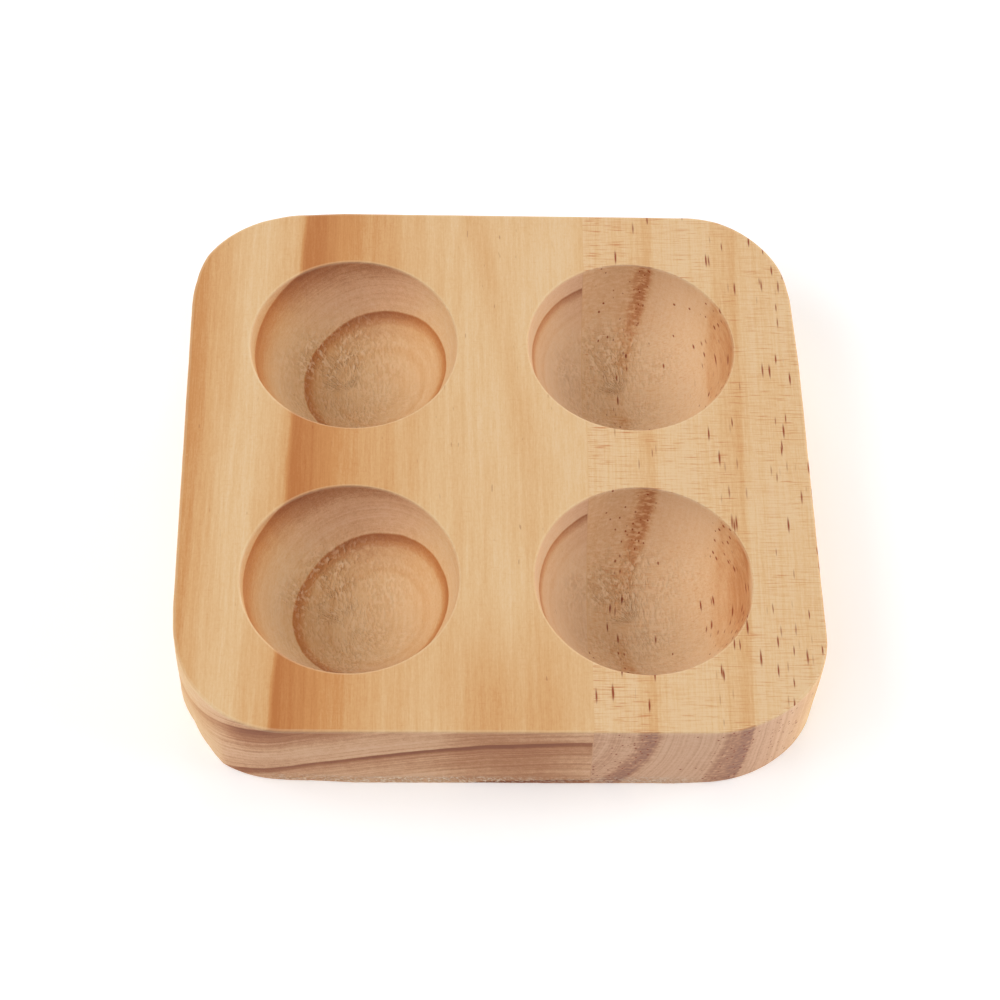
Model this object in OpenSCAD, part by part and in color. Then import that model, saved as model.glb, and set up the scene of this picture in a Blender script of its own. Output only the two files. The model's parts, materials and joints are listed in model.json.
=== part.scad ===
// Egg holder tray: a square slab glued up from two pine boards, with round cups cut into its top.
// The origin is at the middle of the underside. +Z is up, -Y is the front and +X is the right.
// The grain of both boards runs along Y.

/* [Tray] */
// Width of the tray, from left to right
tray_w = 120; // [118:0.5:140]
// Depth of the tray, from front to back
tray_d = 119.5; // [118:0.5:140]
// Thickness of the tray
tray_t = 20; // [19:0.5:30]
// Radius of the upright corners
corner_r = 22; // [6:0.5:26]
// How far the outer edges are eased, measured along each face
edge_ease = 0.5; // [0.2:0.1:1]

/* [Cups] */
// Diameter of the ball that shapes each cup
ball_d = 41.2; // [38:0.2:44]
// Depth of each cup below the top face
cup_depth = 17.4; // [12:0.2:17.8]
// Distance between cup centres, from left to right
cup_pitch_x = 54.6; // [50:0.2:56]
// Distance between cup centres, from front to back
cup_pitch_y = 54.1; // [50:0.2:56]
// How far the group of cups sits to the right of the tray's middle
cups_off_x = -0.5; // [-1:0.1:1]
// How far the group of cups sits behind the tray's middle
cups_off_y = -0.3; // [-1:0.1:1]
// How far the rim of each cup is eased, measured along the top face
rim_ease = 0.4; // [0.2:0.1:0.8]

/* [Glued joint] */
// Place of the joint on the top face, to the right of the tray's middle
joint_x = 17.3; // [-30:0.1:35]
// Angle by which the joint turns to the right as it runs back
joint_skew = 0.96; // [-2:0.02:2]
// Angle by which the joint leans to the left as it rises
joint_tilt = 1.7; // [-2:0.1:2]
// Thickness of the cured glue between the boards
film_t = 0.15; // [0.1:0.05:0.3]

/* [Hidden] */

// Round surfaces are drawn with this many sides
$fn = 128;
ball_r = ball_d / 2;
// Height of each ball's centre, which lies a little above the top face
ball_z = tray_t - cup_depth + ball_r;
// Radius of each cup where it meets the top face
rim_r = sqrt(pow(ball_r, 2) - pow(ball_z - tray_t, 2));
// A length that reaches past the tray from anywhere in it
reach = 2 * (tray_w + tray_d);

// Right half of the section through an eased slab of half-width w
function eased_half(w) = [
  [0, 0],
  [w - edge_ease, 0],
  [w, edge_ease],
  [w, tray_t - edge_ease],
  [w - edge_ease, tray_t],
  [0, tray_t]
];

// One upright corner, as a full round post
module corner_post() {
  rotate_extrude()
    polygon(eased_half(corner_r));
}

// A straight bar along X of full width w, with the same section as the posts
module straight_bar(length, w) {
  rotate([90, 0, 90])
    linear_extrude(length, center = true)
      union() {
        polygon(eased_half(w / 2));
        mirror([1, 0])
          polygon(eased_half(w / 2));
      }
}

// The whole slab before the cups are cut: four posts and two crossing bars
module slab() {
  post_x = tray_w / 2 - corner_r;
  post_y = tray_d / 2 - corner_r;
  for (side = [-1, 1], end = [-1, 1])
    translate([side * post_x, end * post_y, 0])
      corner_post();
  straight_bar(2 * post_x, tray_d);
  rotate([0, 0, 90])
    straight_bar(2 * post_y, tray_w);
}

// What a cutter takes out for one cup: a ball, and a cone that eases its rim
module cup_cutter() {
  translate([0, 0, ball_z])
    sphere(ball_r);
  translate([0, 0, tray_t - 2 * rim_ease])
    cylinder(h = 3 * rim_ease, r1 = rim_r - rim_ease, r2 = rim_r + 2 * rim_ease);
}

// The finished tray as one shape, from which each piece takes its share
module tray() {
  difference() {
    slab();
    for (col = [-1, 1], row = [-1, 1])
      translate([cups_off_x + col * cup_pitch_x / 2, cups_off_y + row * cup_pitch_y / 2, 0])
        cup_cutter();
  }
}

// Places its children in the joint's own frame, where X = 0 is the middle of the glue
module at_joint() {
  translate([joint_x, 0, tray_t])
    rotate([0, -joint_tilt, -joint_skew])
      children();
}

// Wide flat-sawn board on the left of the joint
module left_board() {
  color("burlywood")
    intersection() {
      tray();
      at_joint()
        translate([-reach - film_t / 2, -reach, -reach])
          cube([reach, 2 * reach, 2 * reach]);
    }
}

// Narrow quarter-sawn board on the right of the joint
module right_board() {
  color("tan")
    intersection() {
      tray();
      at_joint()
        translate([film_t / 2, -reach, -reach])
          cube([reach, 2 * reach, 2 * reach]);
    }
}

// Film of cured glue that fills the joint and is machined flush with both boards
module glue_line() {
  color("wheat")
    intersection() {
      tray();
      at_joint()
        cube([film_t, 2 * reach, 2 * reach], center = true);
    }
}

left_board();
right_board();
glue_line();
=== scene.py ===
"""Egg holder tray: two glued pine boards with four cups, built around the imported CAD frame, in metres."""

import json
import math

import bmesh
import bpy
import numpy as np
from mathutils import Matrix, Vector, noise


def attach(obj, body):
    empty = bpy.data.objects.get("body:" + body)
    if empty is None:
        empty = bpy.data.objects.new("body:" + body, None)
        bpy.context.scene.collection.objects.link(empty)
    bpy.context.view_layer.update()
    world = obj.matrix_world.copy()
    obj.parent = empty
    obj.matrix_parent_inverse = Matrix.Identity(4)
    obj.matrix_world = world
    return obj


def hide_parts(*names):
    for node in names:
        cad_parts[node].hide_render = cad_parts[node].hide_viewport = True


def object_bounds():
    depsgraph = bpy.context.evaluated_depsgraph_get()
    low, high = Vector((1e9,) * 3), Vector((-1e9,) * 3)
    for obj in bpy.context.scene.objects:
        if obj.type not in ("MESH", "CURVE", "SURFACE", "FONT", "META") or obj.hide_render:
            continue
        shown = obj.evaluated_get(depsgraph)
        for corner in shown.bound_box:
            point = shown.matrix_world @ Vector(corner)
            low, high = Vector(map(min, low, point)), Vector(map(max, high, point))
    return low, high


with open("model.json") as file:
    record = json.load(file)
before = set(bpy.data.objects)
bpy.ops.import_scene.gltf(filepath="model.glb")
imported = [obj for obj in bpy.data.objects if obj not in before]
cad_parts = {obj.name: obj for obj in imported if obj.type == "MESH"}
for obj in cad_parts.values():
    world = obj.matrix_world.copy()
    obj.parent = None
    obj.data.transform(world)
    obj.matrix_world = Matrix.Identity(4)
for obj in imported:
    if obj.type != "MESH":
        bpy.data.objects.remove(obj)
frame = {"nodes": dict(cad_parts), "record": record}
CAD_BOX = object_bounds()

MM = 0.001

# ---------------------------------------------------------------- what the CAD frame says
LOW = np.array(CAD_BOX[0])
HIGH = np.array(CAD_BOX[1])
TOP = float(HIGH[2])
MIDDLE = (LOW[:2] + HIGH[:2]) / 2
HALF = (HIGH[:2] - LOW[:2]) / 2


def node_points(node):
    """The vertices of a CAD node as an array of points."""
    mesh = frame["nodes"][node].data
    points = np.empty(len(mesh.vertices) * 3, np.float32)
    mesh.vertices.foreach_get("co", points)
    return points.reshape(-1, 3).astype(float)


def cup_centres():
    """The middle of each cup in plan, from the boxes that the record keeps open at their mouths."""
    mouths = [o["box_m"] for o in frame["record"]["physics"]["openings"] if o["name"].endswith("_mouth")]
    return [((low[0] + high[0]) / 2, (low[1] + high[1]) / 2) for low, high in mouths]


def fit_ball(centres):
    """Radius of the ball that shapes the cups and the height of its centre, fitted to the CAD surface."""
    points = np.vstack([node_points("left_board"), node_points("right_board")])
    walls = []
    for x, y in centres:
        near = np.hypot(points[:, 0] - x, points[:, 1] - y) < 18 * MM
        inside = near & (points[:, 2] > 1 * MM) & (points[:, 2] < TOP - 2 * MM)
        walls.append(points[inside] - [x, y, 0])
    wall = np.vstack(walls)
    height = wall[:, 2]
    # On the ball, across^2 + height^2 = 2 * centre * height + (radius^2 - centre^2).
    known = np.stack([2 * height, np.ones(len(height))], 1)
    (centre, rest), *_ = np.linalg.lstsq(known, (wall**2).sum(1), rcond=None)
    return math.sqrt(rest + centre**2), float(centre)


def corner_radius():
    """Radius of the upright corners: how far the straight part of the left side stops short of the front."""
    points = node_points("left_board")
    side = points[points[:, 0] < LOW[0] + 0.01 * MM]
    return float(HALF[1] - np.abs(side[:, 1] - MIDDLE[1]).max())


def joint_plane():
    """A point on the glued joint, its normal towards +X and the thickness of the glue."""
    points = node_points("glue_line")
    middle = points.mean(0)
    normal = np.linalg.svd(points - middle)[2][2]
    normal *= math.copysign(1, normal[0])
    depth = (points - middle) @ normal
    return middle + normal * (depth.max() + depth.min()) / 2, normal, float(depth.max() - depth.min())


CUPS = cup_centres()
BALL_R, BALL_Z = fit_ball(CUPS)
CORNER_R = corner_radius()
JOINT_AT, JOINT_NORMAL, FILM = joint_plane()
SPLIT = np.mean(CUPS, 0)

# ---------------------------------------------------------------- shape of the tray
RAYS = 360
CUP_RINGS = 64
FLAT_RINGS = 10
# How far out each ring of the underside lies, as a share of the way to its edge.
UNDERSIDE_RINGS = (0.4, 0.8, 0.985, 1)
ARC_STEPS = 5
WALL_ROWS = 36
EASE = 0.45 * MM
RIM_EASE = 0.3 * MM

# How far each corner was left standing, or sanded in where negative, in mm. Each pair starts with the turn
# around the corner in degrees, from its side face at 0 to its front or back face at 90.
EVEN = ((0, 0), (90, 0))
SANDED_TOP = {
    (-1, -1): ((-10, 0), (10, -0.35), (30, -0.15), (60, 0.1), (90, 0)),
    (1, -1): ((-10, 0), (8, 0.2), (25, 0.45), (45, 0), (65, -0.2), (90, 0)),
    (-1, 1): ((-5, 0), (11, -0.28), (29, 0.17), (59, -0.37), (74, -0.6), (90, -0.45), (110, 0)),
    (1, 1): ((-40, 0), (-21, -0.2), (9, -0.58), (25, -0.18), (55, 0.2), (69, 0.34), (90, 0)),
}
SANDED_BOTTOM = {
    (-1, -1): ((-20, 0), (-3, -0.2), (13, -0.65), (27, -1.25), (43, -0.66), (55, 0.2), (85, -0.53),
               (99, -0.4), (120, 0)),
    (1, -1): ((-10, 0), (8, 0.2), (24, 0.26), (40, 0), (53, -0.27), (68, -0.42), (81, -0.43), (105, 0)),
    (-1, 1): EVEN,
    (1, 1): EVEN,
}
SANDED_DEPTH = 10 * MM
# The bottom's own sanding fades out this far below the top face.
SANDED_FROM = 4 * MM

CHATTER = 0.035 * MM
FRAYED = 0.28 * MM
# The outline wavers by this much, and so do the points less than WAVERS_WITHIN inside it.
WAVER = 0.05 * MM
WAVERS_WITHIN = 1.2 * MM
# Points closer than this are one point.
SAME_POINT = 0.002 * MM


def outline_gap(points):
    """Distance of each point from the tray's outline in plan, negative inside it."""
    beyond = np.abs(points - MIDDLE) - (HALF - CORNER_R)
    out = np.maximum(beyond, 0)
    return np.hypot(out[:, 0], out[:, 1]) + np.minimum(beyond.max(1), 0) - CORNER_R


def outline_normal(points):
    """Direction out of the tray in plan at each point near its outline."""
    side = np.sign(points - MIDDLE)
    beyond = np.maximum(np.abs(points - MIDDLE) - (HALF - CORNER_R), 0)
    return side * beyond / np.maximum(np.linalg.norm(beyond, axis=1, keepdims=True), 1e-9)


def rays_to_edge(centre, directions, inset):
    """How far each ray from a cup's centre runs to the split lines between cups, or to the inset outline.
    The second result says which rays end on the outline."""
    towards = (SPLIT - centre) / directions
    splits = np.where(towards > 0, towards, np.inf).min(1)
    low = np.zeros(len(directions))
    high = np.full(len(directions), HALF.max() * 3)
    for _ in range(50):
        mid = (low + high) / 2
        inside = outline_gap(centre + directions * mid[:, None]) < -inset
        low = np.where(inside, mid, low)
        high = np.where(inside, high, mid)
    return np.minimum(low, splits), low <= splits


def cup_profile():
    """Radius and height of each ring of a cup, from near the middle of its floor up over the eased rim."""
    reach = BALL_R + RIM_EASE
    steep = math.acos((BALL_Z - TOP + RIM_EASE) / reach)
    angles = np.linspace(0, steep, CUP_RINGS + 1)[1:]
    wall = [(BALL_R * math.sin(a), BALL_Z - BALL_R * math.cos(a)) for a in angles]
    rim_r = reach * math.sin(steep)
    turns = np.linspace(steep, 0, ARC_STEPS + 1)[1:]
    rim = [(rim_r - RIM_EASE * math.sin(a), TOP - RIM_EASE * (1 - math.cos(a))) for a in turns]
    return wall, rim


def cell_edge(centre, inset):
    """Where a cup's share of the top face ends along each ray, and which rays end on the outline.
    The rays nearest the share's own corners are moved onto them, so that neighbours meet exactly."""
    angles = np.arange(RAYS) * 2 * math.pi / RAYS
    directions = np.stack([np.cos(angles), np.sin(angles)], 1)
    # A hair off the axes, so that no ray is parallel to a split line.
    directions += 1e-12
    far, on_outline = rays_to_edge(centre, directions, inset)
    edge = centre + directions * far[:, None]
    away = np.sign(centre - SPLIT)
    ends = MIDDLE + away * (HALF - inset)
    for corner, outer in ((SPLIT, False), ((SPLIT[0], ends[1]), True), ((ends[0], SPLIT[1]), True)):
        turn = math.atan2(corner[1] - centre[1], corner[0] - centre[0])
        k = round(turn / (2 * math.pi) * RAYS) % RAYS
        edge[k] = corner
        on_outline[k] = outer
    return edge, on_outline


def add_cell(bm, layers, centre):
    """Adds one cup, its share of the top face, and the side wall and underside below that share."""
    centre = np.array(centre)
    edge, on_outline = cell_edge(centre, EASE)
    wall, rim = cup_profile()
    angles = np.arange(RAYS) * 2 * math.pi / RAYS
    spokes = np.stack([np.cos(angles), np.sin(angles)], 1)
    rings = []
    for r, z in wall + rim:
        rings.append((centre + spokes * r, z))
    rim_edge = rings[-1][0]
    # The first and last rings hug the eased edges, which keeps their paler wood and painted highlight narrow.
    for share in [0.015, *np.linspace(0, 1, FLAT_RINGS + 1)[1:-1], 0.985, 1]:
        rings.append((rim_edge + (edge - rim_edge) * share, TOP))
    grid = []
    for number, (plan, z) in enumerate(rings):
        in_cup = number < len(wall)
        on_rim = len(wall) - 1 <= number < len(wall) + len(rim)
        row = []
        for x, y in plan:
            v = bm.verts.new((x, y, z))
            v[layers["cup"]] = float(in_cup)
            v[layers["edge"]] = float(on_rim)
            v[layers["from_cup"]] = (x - centre[0], y - centre[1], 0)
            row.append(v)
        grid.append(row)
    floor = bm.verts.new((centre[0], centre[1], BALL_Z - BALL_R))
    floor[layers["cup"]] = 1.0
    for k in range(RAYS):
        bm.faces.new((floor, grid[0][k], grid[0][(k + 1) % RAYS]))
    for inner, outer in zip(grid, grid[1:]):
        for k in range(RAYS):
            n = (k + 1) % RAYS
            bm.faces.new((inner[k], outer[k], outer[n], inner[n]))
    add_wall(bm, layers, grid[-1], on_outline)
    add_underside(bm, centre, edge)


def add_underside(bm, centre, edge):
    """Closes the flat underside below one cup with rings from its edge in to the middle."""
    middle = bm.verts.new((centre[0], centre[1], 0))
    inner = [middle] * RAYS
    for share in UNDERSIDE_RINGS:
        outer = [bm.verts.new((x, y, 0)) for x, y in centre + (edge - centre) * share]
        for k in range(RAYS):
            n = (k + 1) % RAYS
            corners = (outer[k], outer[n], inner[n], inner[k])
            bm.faces.new(corners[:3] if inner[k] is middle else corners)
        inner = outer


def wall_profile():
    """How far out and how low each row of the side wall lies, from the top face over both eased edges.
    The rows lie closer together towards the bottom, where the fibres are torn."""
    turns = np.linspace(0, math.pi / 2, ARC_STEPS + 1)[1:]
    upper = [(EASE * math.sin(a), TOP - EASE * (1 - math.cos(a))) for a in turns]
    shares = np.linspace(1, 0, WALL_ROWS + 1)[1:-1] ** 1.5
    straight = [(EASE, EASE + (TOP - 2 * EASE) * share) for share in (0.99, *shares)]
    lower = [(out, TOP - z) for out, z in reversed(upper)]
    return upper + straight + lower + [(0, 0)]


def add_wall(bm, layers, top_row, on_outline):
    """Hangs the side wall from the rays that end on the outline, which are one run of neighbours."""
    count = len(top_row)
    start = next(k for k in range(count) if on_outline[k] and not on_outline[k - 1])
    run = []
    k = start
    while on_outline[k % count]:
        run.append(top_row[k % count])
        k += 1
    plan = np.array([v.co[:2] for v in run])
    outward = outline_normal(plan)
    above = run
    for v in run:
        v[layers["edge"]] = 1.0
    for number, (out, z) in enumerate(wall_profile()):
        row = [bm.verts.new((x, y, z)) for x, y in plan + outward * out]
        for v in row:
            v[layers["edge"]] = float(number < ARC_STEPS)
        for i in range(len(run) - 1):
            bm.faces.new((above[i], row[i], row[i + 1], above[i + 1]))
        above = row


def corner_turn(points):
    """How far round its corner each point lies, in degrees, running on along the straight sides."""
    beyond = np.abs(points - MIDDLE) - (HALF - CORNER_R)
    round_it = np.degrees(np.arctan2(beyond[:, 1], beyond[:, 0]))
    along_side = np.degrees(beyond[:, 1] / CORNER_R)
    along_front = 90 - np.degrees(beyond[:, 0] / CORNER_R)
    return np.where(beyond[:, 1] < 0, along_side, np.where(beyond[:, 0] < 0, along_front, round_it))


def sanding(points):
    """How far the hand sanding moved each point outward: fully on the outline, fading towards the cups."""
    plan = points[:, :2]
    turn = corner_turn(plan)
    side = np.where(plan > MIDDLE, 1, -1)
    lower = np.clip((TOP - SANDED_FROM - points[:, 2]) / (TOP - SANDED_FROM), 0, 1)
    lower = lower * lower * (3 - 2 * lower)
    moved = np.zeros(len(points))
    for corner in SANDED_TOP:
        here = (side == corner).all(1)
        top = np.interp(turn[here], *np.transpose(SANDED_TOP[corner]))
        bottom = np.interp(turn[here], *np.transpose(SANDED_BOTTOM[corner]))
        moved[here] = top + (bottom - top) * lower[here]
    fade = np.clip(1 + outline_gap(plan) / SANDED_DEPTH, 0, 1)
    return moved * MM * fade * fade * (3 - 2 * fade)


def wavering(points, size, seed):
    """Smooth noise from -1 to 1 at each point, with features about as large as size."""
    shift = Vector((seed, seed * 0.7, seed * 1.3))
    return np.array([noise.noise(Vector(p / size) + shift) for p in points])


def frayed_band(points):
    """How strongly the fibres are torn out along the bottom of the front face, from 0 to 1."""
    x, y, z = (points / MM).T
    along = np.interp(x, (-48, -38, -20, -4, 8, 18, 26, 34, 40), (0, 0.6, 1, 0.9, 0.35, 0.4, 1, 0.7, 0))
    height = np.interp(z, (0.3, 0.9, 2.2, 3.4), (0.5, 1, 0.8, 0))
    front = np.clip((LOW[1] / MM + 1.5 - y) / 1.5, 0, 1)
    return along * height * front


def weather(bm, layers):
    """Gives the tray its handmade wobbles: sanded corners, chatter in the cups and a frayed lower edge."""
    points = np.array([v.co for v in bm.verts])
    plan_out = outline_normal(points[:, :2])
    moved = sanding(points)
    near = outline_gap(points[:, :2]) > -WAVERS_WITHIN
    moved[near] += WAVER * wavering(points[near], 5 * MM, 3)
    torn = frayed_band(points)
    band = torn > 0
    ragged = 0.55 + 0.45 * wavering(points[band] * [1, 1, 2], 0.7 * MM, 11)
    moved[band] -= FRAYED * torn[band] * ragged
    place = points.copy()
    place[:, :2] += plan_out * moved[:, None]
    place = np.clip(place, LOW, HIGH)
    cup = np.array([v[layers["cup"]] for v in bm.verts]) > 0
    walls = points[cup]
    centre = walls - np.array([v[layers["from_cup"]] for v in bm.verts])[cup]
    centre[:, 2] = BALL_Z
    inward = (centre - walls) / BALL_R
    below_rim = np.clip((TOP - walls[:, 2]) / (2 * MM), 0, 1)
    chatter = wavering(walls, 2.2 * MM, 5) + 0.6 * wavering(walls, 1.1 * MM, 7)
    place[cup] += inward * (CHATTER * below_rim * chatter)[:, None]
    for v, at, frayed in zip(bm.verts, place, torn):
        v.co = at
        v[layers["frayed"]] = frayed


def tray_mesh():
    """The whole tray as one closed mesh, before the joint divides it."""
    bm = bmesh.new()
    layers = {name: bm.verts.layers.float.new(name) for name in ("cup", "edge", "frayed")}
    layers["from_cup"] = bm.verts.layers.float_vector.new("from_cup")
    for centre in CUPS:
        add_cell(bm, layers, centre)
    bmesh.ops.remove_doubles(bm, verts=bm.verts, dist=SAME_POINT)
    weather(bm, layers)
    bmesh.ops.recalc_face_normals(bm, faces=bm.faces)
    for face in bm.faces:
        face.smooth = True
    return bm


def cut(bm, at, normal):
    """Cuts away what lies beyond a plane, on its normal's side, and closes the cut with one flat face."""
    everything = bm.verts[:] + bm.edges[:] + bm.faces[:]
    bmesh.ops.bisect_plane(bm, geom=everything, plane_co=at, plane_no=normal, clear_outer=True,
                           dist=SAME_POINT / 4)
    open_edges = [e for e in bm.edges if e.is_boundary]
    made = bmesh.ops.edgeloop_fill(bm, edges=open_edges)
    for face in made["faces"]:
        face.smooth = False
        for edge in face.edges:
            edge.smooth = False
    bmesh.ops.recalc_face_normals(bm, faces=bm.faces)


def board(tray, name, cuts, material):
    """One piece of the tray between the given cutting planes, as an object that replaces its CAD node."""
    bm = tray.copy()
    for at, normal in cuts:
        cut(bm, at, normal)
    mesh = bpy.data.meshes.new(name + "_wood")
    bm.to_mesh(mesh)
    bm.free()
    mesh.materials.append(material)
    piece = bpy.data.objects.new(name + "_wood", mesh)
    bpy.context.scene.collection.objects.link(piece)
    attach(piece, "root")
    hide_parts(name)
    return piece


def make_tray():
    tray = tray_mesh()
    left_side = JOINT_AT - JOINT_NORMAL * FILM / 2
    right_side = JOINT_AT + JOINT_NORMAL * FILM / 2
    board(tray, "left_board", [(left_side, JOINT_NORMAL)], flat_sawn_pine())
    board(tray, "right_board", [(right_side, -JOINT_NORMAL)], quarter_sawn_pine())
    film = [(right_side, JOINT_NORMAL), (left_side, -JOINT_NORMAL)]
    board(tray, "glue_line", film, cured_glue())
    tray.free()


# ---------------------------------------------------------------- shader graphs
def linear(red, green, blue):
    """A colour given as 8-bit sRGB values, in Blender's linear light."""
    shares = [c / 255 for c in (red, green, blue)]
    return [c / 12.92 if c <= 0.04045 else ((c + 0.055) / 1.055) ** 2.4 for c in shares] + [1]


class Wire:
    """An output of a shader node that takes part in plain arithmetic."""

    def __init__(self, graph, socket):
        self.graph = graph
        self.socket = socket

    def __add__(self, other):
        return self.graph.math("ADD", self, other)

    def __radd__(self, other):
        return self.graph.math("ADD", other, self)

    def __sub__(self, other):
        return self.graph.math("SUBTRACT", self, other)

    def __rsub__(self, other):
        return self.graph.math("SUBTRACT", other, self)

    def __mul__(self, other):
        return self.graph.math("MULTIPLY", self, other)

    def __rmul__(self, other):
        return self.graph.math("MULTIPLY", other, self)

    def __truediv__(self, other):
        return self.graph.math("DIVIDE", self, other)


class Graph:
    """The node tree of a new material, with a short call for each kind of node that the materials use."""

    def __init__(self, name):
        self.material = bpy.data.materials.new(name)
        self.material.use_nodes = True
        self.tree = self.material.node_tree
        self.shader = self.tree.nodes["Principled BSDF"]
        place = self.node("ShaderNodeTexCoord", {})
        scaled = self.node("ShaderNodeVectorMath", {0: place.outputs["Object"], 3: 1 / MM}, operation="SCALE")
        self.x, self.y, self.z = self.split(scaled.outputs[0])
        self.facing = self.split(place.outputs["Normal"])

    def node(self, kind, inputs, **settings):
        made = self.tree.nodes.new(kind)
        for key, value in settings.items():
            setattr(made, key, value)
        for key, value in inputs.items():
            self.put(made.inputs[key], value)
        return made

    def put(self, socket, value):
        source = value.socket if isinstance(value, Wire) else value
        if isinstance(source, bpy.types.NodeSocket):
            self.tree.links.new(source, socket)
        else:
            socket.default_value = source

    def split(self, vector):
        parts = self.node("ShaderNodeSeparateXYZ", {0: vector})
        return [Wire(self, out) for out in parts.outputs]

    def math(self, operation, *values, clamp=False):
        made = self.node("ShaderNodeMath", dict(enumerate(values)), operation=operation, use_clamp=clamp)
        return Wire(self, made.outputs[0])

    def vector(self, x, y, z):
        return Wire(self, self.node("ShaderNodeCombineXYZ", {0: x, 1: y, 2: z}).outputs[0])

    def noise(self, x, y, z, detail=2.0, rough=0.5):
        """Noise from 0 to 1, with features about 1 unit apart."""
        made = self.node("ShaderNodeTexNoise", {
            "Vector": self.vector(x, y, z), "Scale": 1.0, "Detail": detail, "Roughness": rough})
        return Wire(self, made.outputs["Fac"])

    def grain(self, across, along, seed=0.0):
        """Noise from -1 to 1 in threads of the given width and length in mm, which run along Y."""
        return 2 * self.noise(self.x / across + seed, self.y / along, self.z / across) - 1

    def step(self, value, low, high):
        """0 below low, 1 above high, and smooth between them."""
        made = self.node("ShaderNodeMapRange", {"Value": value, "From Min": low, "From Max": high},
                         interpolation_type="SMOOTHSTEP")
        return Wire(self, made.outputs[0])

    def ramp(self, value, stops):
        """The colour or grey that stops give at each value, straight between neighbouring stops."""
        low = stops[0][0]
        high = stops[-1][0]
        share = self.node("ShaderNodeMapRange", {"Value": value, "From Min": low, "From Max": high})
        made = self.node("ShaderNodeValToRGB", {0: share.outputs[0]})
        points = made.color_ramp.elements
        while len(points) < len(stops):
            points.new(0.5)
        for point, (at, colour) in zip(points, stops):
            point.position = (at - low) / (high - low)
            point.color = colour if isinstance(colour, list) else (colour, colour, colour, 1)
        return Wire(self, made.outputs["Color"])

    def mix(self, share, first, second):
        """Blends two colours."""
        made = self.node("ShaderNodeMix", {0: share, 6: first, 7: second}, data_type="RGBA")
        return Wire(self, made.outputs[2])

    def attribute(self, name):
        return self.node("ShaderNodeAttribute", {}, attribute_name=name)

    def finish(self, colour, roughness, height):
        """Wires colour, roughness and a height in mm into the shader."""
        self.put(self.shader.inputs["Base Color"], colour)
        self.put(self.shader.inputs["Roughness"], roughness)
        bump = self.node("ShaderNodeBump", {"Height": height, "Distance": MM, "Strength": 1.0})
        self.put(self.shader.inputs["Normal"], bump.outputs[0])
        return self.material


# ---------------------------------------------------------------- the three materials
# Long-grain colour from early wood at 0 to late wood at 1, and the same on end grain.
LONG_GRAIN = [(0, linear(227, 193, 149)), (0.12, linear(224, 185, 136)), (0.35, linear(215, 166, 112)),
              (0.6, linear(203, 142, 84)), (1, linear(184, 114, 58))]
END_GRAIN = [(0, linear(219, 178, 143)), (0.12, linear(212, 166, 129)), (0.4, linear(181, 127, 89)),
             (0.7, linear(160, 102, 67)), (1, linear(138, 80, 52))]
CUP_PALE = linear(222, 186, 158)
# Lighter colour for the eased edges: partly freshly sanded wood, partly a painted highlight along the rims
# and top edges.
EDGE_SANDED_AND_HIGHLIGHT = linear(240, 214, 174)


def torn_grain(g):
    """Where the cutter tore the grain in the cups: 1 on ridges, -1 in the gaps between them, 0 where smooth.
    Coarse marks lie in two fans that run towards the middle of each floor, stronger at the back left. A finer
    nap along the grain covers most of the floor in patches."""
    x, y, _ = g.split(g.attribute("from_cup").outputs["Vector"])
    x = x / MM
    y = y / MM
    reach = g.math("SQRT", x * x + y * y)
    turned = g.math("ARCTAN2", y, x)
    # The marks are this many times narrower than their distance from the middle of the cup.
    thin = 13.0
    marks = g.noise(g.math("COSINE", turned) * thin, g.math("SINE", turned) * thin, reach / 1.1, 2.0, 0.55)
    fan = g.math("COSINE", turned - math.radians(125))
    fan = g.step(fan * fan, 0.15, 0.75)
    window = g.step(reach, 0.5, 2.5) * g.step(reach, 17.5, 11)
    patches = g.step(g.noise(g.x / 4.5, g.y / 4.5, g.z / 4.5), 0.33, 0.56)
    back = 0.35 + 0.65 * g.step(y - x, -3.0, 4.0)
    fans = fan * window * patches * back
    nap = g.noise(g.x / 0.5, g.y / 1.3, g.z / 0.5, 1.0)
    worn = g.step(g.noise(g.x / 5, g.y / 5, g.z / 5), 0.3, 0.5)
    lifted = g.step(reach, 17, 11) * g.step(x - 0.5 * y, 12, 5) * worn
    coarse = 2 * g.step(marks, 0.4, 0.62) - 1
    fine = 2 * g.step(nap, 0.36, 0.62) - 1
    return coarse * fans + 0.5 * fine * lifted


def end_grain(g):
    """How much of the end grain shows, from 0 on long grain to 1 on the front and back."""
    return g.step(g.math("ABSOLUTE", g.facing[1]), 0.4, 0.96)


def tones(g, late, end, paler):
    """The wood's colour: rings on long and end grain, paler in the cups by a share, and lighter on the eased
    edges, partly as sanded wood and partly as a painted highlight.
    """
    cup = Wire(g, g.attribute("cup").outputs["Fac"])
    edge = Wire(g, g.attribute("edge").outputs["Fac"])
    colour = g.mix(end, g.ramp(late, LONG_GRAIN), g.ramp(late, END_GRAIN))
    colour = g.mix(cup * paler, colour, CUP_PALE)
    # Eased edges: partly sanded wood, partly a painted highlight.
    return g.mix(edge * 0.22, colour, EDGE_SANDED_AND_HIGHLIGHT)


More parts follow.
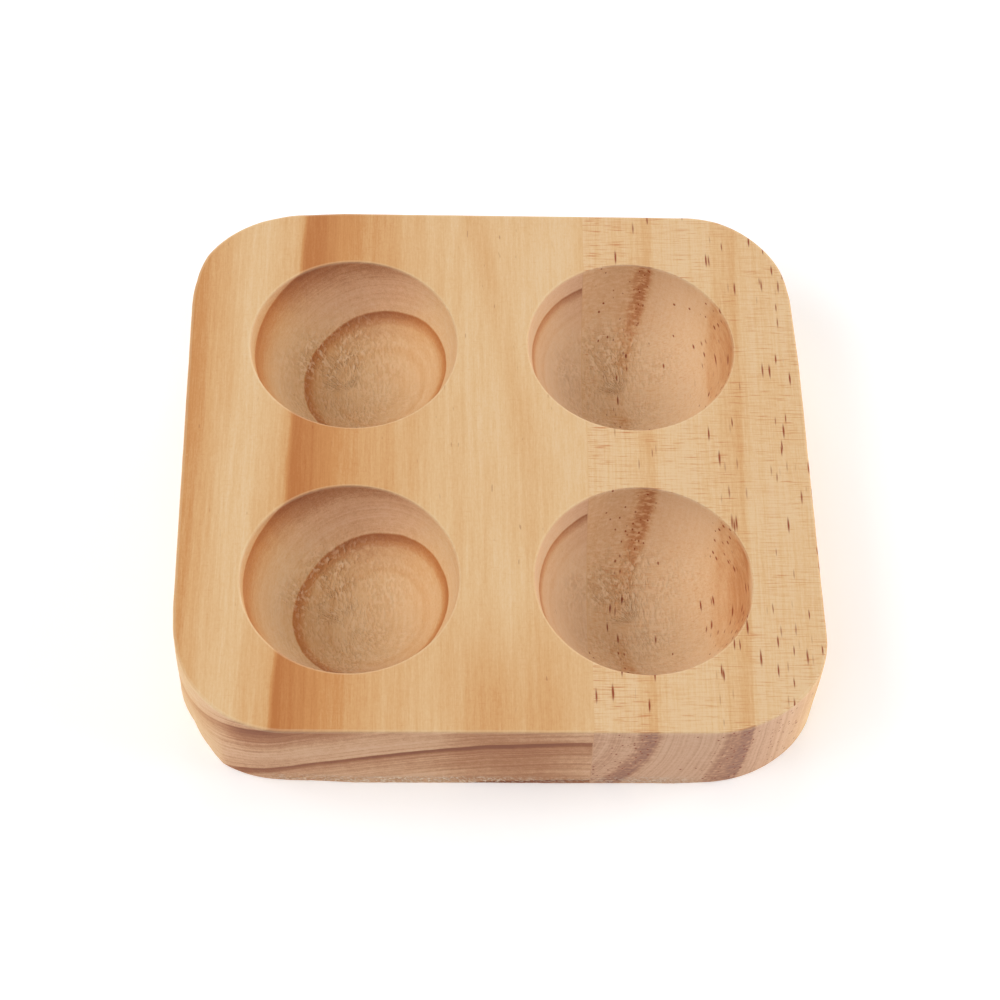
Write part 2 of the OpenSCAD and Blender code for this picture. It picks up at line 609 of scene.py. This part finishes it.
def wood(g, late, ring, pits, flecks, blush, cup_ends, paler):
    """Finishes a board of pine from its rings, its dark pits and its ray flecks. The rest says how pink its
    cut ends are, how far the ends' look shows in its cups, and how much paler its cups are."""
    frayed = Wire(g, g.attribute("frayed").outputs["Fac"])
    cup = Wire(g, g.attribute("cup").outputs["Fac"])
    end = end_grain(g) * (1 - (1 - cup_ends) * cup)
    threads = g.grain(0.22, 5, 2.0)
    fine = g.noise(g.x / 0.3, g.y / 0.7, g.z / 0.3, 3.0, 0.6)
    rings = 2 * g.noise(ring / 0.42, g.y / 70, g.x / 30, 2.0) - 1
    late = late + 0.15 * threads + 0.28 * (fine - 0.5) + (0.15 + 0.22 * end) * (1 - 0.5 * cup) * rings
    late = g.math("ADD", late, 0.1 * flecks, clamp=True)
    # Cutting bruises the soft early wood paler, and hardly marks the late wood.
    soft = 1 - 0.75 * late
    colour = tones(g, late, end, paler * soft)
    colour = g.mix(g.math("MULTIPLY", flecks, 0.3, clamp=True), colour, linear(196, 112, 64))
    marks = cup * torn_grain(g)
    fuzz = g.noise(g.x / 0.28, g.y / 0.45, g.z / 0.28, 3.0, 0.6)
    colour = g.mix(cup * g.step(fuzz, 0.4, 0.75) * 0.2 * soft, colour, linear(232, 202, 170))
    # Painted highlight on the torn ridges and painted shade in the gaps between them, on top of the relief
    # that the bump gives them.
    ridges = g.math("MAXIMUM", marks, 0)
    gaps = g.math("MAXIMUM", 0 - marks, 0)
    colour = g.mix(0.38 * ridges, colour, linear(246, 216, 180))
    colour = g.mix(0.2 * gaps, colour, linear(172, 118, 78))
    specks = g.step(g.noise(g.x / 0.55 + g.z / 0.8, g.y / 0.6, g.z / 0.42), 0.5, 0.6)
    colour = g.mix(frayed * specks * 0.8, colour, linear(248, 230, 204))
    colour = g.mix(blush * end, colour, linear(208, 174, 154))
    colour = g.mix(pits * 0.95, colour, linear(142, 54, 16))
    rough = 0.58 + 0.14 * fine - 0.08 * late + 0.08 * cup
    pores = 0.006 * threads + 0.006 * fine + 0.004 * g.grain(0.6, 30, 4.0)
    ends = 0.012 * end * g.noise(g.x / 0.2, g.y, g.z / 0.2, 3.0)
    torn = 0.08 * marks + 0.045 * cup * fuzz
    height = pores + ends + torn - 0.006 * pits + 0.2 * frayed * specks
    g.shader.inputs["Specular IOR Level"].default_value = 0.3
    return g.finish(colour, rough, height)


# The left board's heart in mm: its place across the tray, how that shifts per mm to the back, and its depth.
HEART_ACROSS = 17.6
HEART_LEAN = 0.031
HEART_DEPTH = 134


def flat_sawn_pine():
    """The left board: flat-sawn pine with wide cathedral rings that curve about a heart far below."""
    g = Graph("flat_sawn_pine")
    across = g.x - HEART_ACROSS - HEART_LEAN * g.y
    depth = g.z + HEART_DEPTH
    wander = 0.4 * (2 * g.noise(g.x / 14, g.y / 45, g.z / 14, 1.0) - 1)
    wander = wander + 0.22 * (2 * g.noise(g.x / 5, g.y / 22, g.z / 5, 1.0) - 1)
    ring = g.math("SQRT", across * across + depth * depth) + wander
    # Each stop is a distance from the heart in mm, and how dark the wood is there.
    late = g.ramp(ring, [
        (134, 0.4), (135.7, 0.75), (136, 0.06), (141.6, 0.1), (142.1, 0.2), (142.6, 0.12), (145, 0.15),
        (145.6, 0.3), (146.2, 0.2), (148.2, 0.3), (149.3, 0.75), (150.05, 1), (150.35, 0.14), (153, 0.09),
        (156.5, 0.15), (158.6, 0.34), (160, 0.46), (161.5, 0.6), (162.8, 0.82), (164.2, 1), (164.6, 0.34),
        (165.4, 0.24), (167.5, 0.1), (169, 0.18), (170.3, 0.32), (171.5, 0.52), (173.5, 0.75),
    ])
    # Sanding through the outer rings at the left corners leaves them faint there.
    late = late * (1 - 0.5 * g.step(g.x, -46, -51) * g.step(g.math("ABSOLUTE", g.facing[2]), 0.9, 0.6))
    late = late + 0.13 * g.grain(0.9, 40) + 0.12 * (2 * g.noise(g.x / 10, g.y / 55, g.z / 10) - 1)
    streak = g.x - 3.6 + 0.158 * (g.y - 14)
    band = g.step(g.math("ABSOLUTE", streak), 4, 0.4) * g.step(g.y, -12, 16)
    stain = g.step(g.y, -28, -56) * g.step(g.math("ABSOLUTE", g.x - 2), 17, 4)
    late = late + 0.12 * band + 0.26 * stain
    pits = g.step(g.noise(g.x / 0.45, g.y / 2.5, g.z / 0.45, 0.0), 0.84, 0.92)
    flecks = g.step(g.noise(g.x / 2.4, g.y / 0.3, g.z / 0.5, 1.0), 0.6, 0.78)
    return wood(g, late, ring, 0.4 * pits, 0.3 * flecks, 0.0, 1.0, 0.05 + 0.4 * g.step(g.x, -6, 8))


def quarter_sawn_pine():
    """The right board: quarter-sawn pine, with steep rings, resin canals in rows and ray flecks across."""
    g = Graph("quarter_sawn_pine")
    below = 20 - g.z
    bend = g.math("MAXIMUM", 0.01265 - 0.000555 * (g.x - 28.4), 0.001)
    wander = 0.6 * (2 * g.noise(g.x / 12, g.y / 40, g.z / 12, 1.0) - 1)
    ring = g.x - 0.035 * (g.y + 59.5) + bend * below * below + wander
    # Each stop is a place across the board in mm, and how dark the wood is there.
    late = g.ramp(ring, [
        (14, 0.24), (20, 0.2), (23.5, 0.2), (24.9, 0.42), (26.3, 0.9), (27.5, 1), (28.4, 0.35), (29.2, 0.1),
        (38, 0.08), (40, 0.18), (40.8, 0.5), (42, 0.45), (43.4, 0.7), (44.6, 0.95), (45.2, 0.9), (45.8, 0.14),
        (47, 0.1), (54, 0.14), (57, 0.2), (60, 0.34),
    ])
    flat = g.step(g.math("ABSOLUTE", g.facing[2]), 0.93, 0.99)
    upright = g.math("MAXIMUM", end_grain(g), g.step(g.z, 3, 14))
    aside = g.step(g.math("ABSOLUTE", g.facing[0]), 0.35, 0.7)
    strength = (1 - 0.74 * flat) * (0.4 + 0.6 * upright) * (1 - 0.1 * aside)
    rays = g.step(g.noise(g.x / 4.5, g.y / 0.26, g.z / 0.4, 2.0), 0.52, 0.74)
    broken = g.step(g.noise(g.x / 1.3, g.y / 0.8, g.z / 0.5, 2.0), 0.3, 0.62)
    broken = g.mix(g.math("MAXIMUM", flat, aside), 0.3 + 0.85 * broken, 0.9 + 0.5 * g.grain(0.8, 9, 6.0))
    late = 0.04 + late * strength * broken + 0.12 * g.grain(0.7, 30, 3.0)
    late = late + 0.12 * (2 * g.noise(g.x / 14, g.y / 18, g.z / 14) - 1)
    dense = 0.4 + 0.6 * g.step(g.noise(g.x / 9, g.y / 6, g.z / 9, 1.0), 0.42, 0.6)
    dense = (dense + 0.35 * g.step(g.x, 29, 25)) * (1 - 0.55 * Wire(g, g.attribute("cup").outputs["Fac"]))
    weave = 2 * g.noise(g.x / 7, g.y / 0.2, g.z / 0.4, 1.0) - 1
    # Rays show along their length on the flat faces, and only their fine ends on the sides.
    level = g.step(g.math("ABSOLUTE", g.facing[2]), 0.35, 0.85)
    flecks = (1.9 * rays * dense + 1.1 * weave) * (0.12 + 0.88 * level)
    # Each stop is a place across the board in mm, and the share of places that hold a resin canal.
    crowd = g.ramp(ring, [
        (16, 0.1), (18, 0.22), (23.8, 0.22), (24.4, 0.8), (28, 0.75), (28.6, 0.08), (38.6, 0.08), (39.6, 1),
        (45.4, 1), (46, 0.1), (49, 0.1), (50, 1), (54, 0.9), (55.6, 0.3), (60, 0.2),
    ])
    shifted = g.x / 0.95 + 0.25 * g.noise(g.x, g.y / 3, g.z)
    where = g.vector(shifted, g.y / 7.2, g.z / 0.95)
    canals = g.node("ShaderNodeTexVoronoi", {"Vector": where, "Scale": 1.0})
    pick, size, _ = g.split(canals.outputs["Color"])
    chosen = g.math("LESS_THAN", pick, crowd)
    near = Wire(g, canals.outputs["Distance"])
    pits = chosen * g.step(near / (0.15 + 0.13 * size), 1.25, 0.35)
    return wood(g, late, ring, pits, flecks, 0.25, 0.25, 0.24)


def cured_glue():
    """The glue line: a thin film with the colour of the wood around it, slightly uneven along its length."""
    g = Graph("cured_glue")
    uneven = g.noise(g.x / 0.5, g.y / 3, g.z / 0.8)
    colour = tones(g, 0.05 + 0.3 * uneven, end_grain(g), 0.15)
    g.shader.inputs["Specular IOR Level"].default_value = 0.3
    return g.finish(colour, 0.5 + 0.15 * uneven, 0.01 * uneven)


make_tray()


# ---------------------------------------------------------------- floor, light and camera
FLOOR_SIZE = 6
FLOOR_PAINT = (0.93, 0.93, 0.93, 1)
# The floor glows a little, so that it comes out about as white as the photo's background.
FLOOR_GLOW = 0.2


def make_floor():
    bpy.ops.mesh.primitive_plane_add(size=FLOOR_SIZE, location=(0, 0, 0))
    floor = bpy.context.object
    floor.name = "floor"
    m = bpy.data.materials.new("floor_paint")
    m.use_nodes = True
    bsdf = m.node_tree.nodes["Principled BSDF"]
    bsdf.inputs["Base Color"].default_value = FLOOR_PAINT
    bsdf.inputs["Roughness"].default_value = 0.9
    bsdf.inputs["Emission Color"].default_value = (1, 1, 1, 1)
    bsdf.inputs["Emission Strength"].default_value = FLOOR_GLOW
    floor.data.materials.append(m)


LAMP_AWAY = 1.2
LAMP_SIZE = 0.9


def soft_lamp(name, around, up, watts):
    """A square softbox that faces the tray from a direction in degrees: 0 in front, 90 at the right."""
    lamp = bpy.data.lights.new(name, "AREA")
    lamp.shape = "SQUARE"
    lamp.size = LAMP_SIZE
    lamp.energy = watts
    o = bpy.data.objects.new(name, lamp)
    a = math.radians(around)
    e = math.radians(up)
    place = Vector((math.cos(e) * math.sin(a), -math.cos(e) * math.cos(a), math.sin(e))) * LAMP_AWAY
    o.location = place
    o.rotation_euler = (-place).to_track_quat("-Z", "Y").to_euler()
    bpy.context.scene.collection.objects.link(o)


def make_light():
    world = bpy.data.worlds.new("studio")
    world.use_nodes = True
    world.node_tree.nodes["Background"].inputs["Color"].default_value = (1, 1, 1, 1)
    world.node_tree.nodes["Background"].inputs["Strength"].default_value = 0.15
    bpy.context.scene.world = world
    soft_lamp("softbox_left", 270, 38, 6.4)
    soft_lamp("softbox_front_left", 315, 45, 4.3)
    soft_lamp("softbox_right", 90, 15, 13.5)
    soft_lamp("softbox_back", 180, 15, 7.5)
    soft_lamp("softbox_above", 0, 90, 2.0)
    bpy.context.scene.view_settings.view_transform = "Standard"


CAMERA_PLACE = (-0.02015, -0.2713, 0.4165)
CAMERA_TURN = (0.5828, -0.0403, -0.0172)
CAMERA_LENS = 90.43


def make_camera():
    camera = bpy.data.cameras.new("camera")
    camera.lens = CAMERA_LENS
    camera.sensor_width = 36
    camera.clip_start = 0.01
    o = bpy.data.objects.new("camera", camera)
    o.location = CAMERA_PLACE
    o.rotation_euler = CAMERA_TURN
    bpy.context.scene.collection.objects.link(o)
    bpy.context.scene.camera = o


make_floor()
make_light()
make_camera()
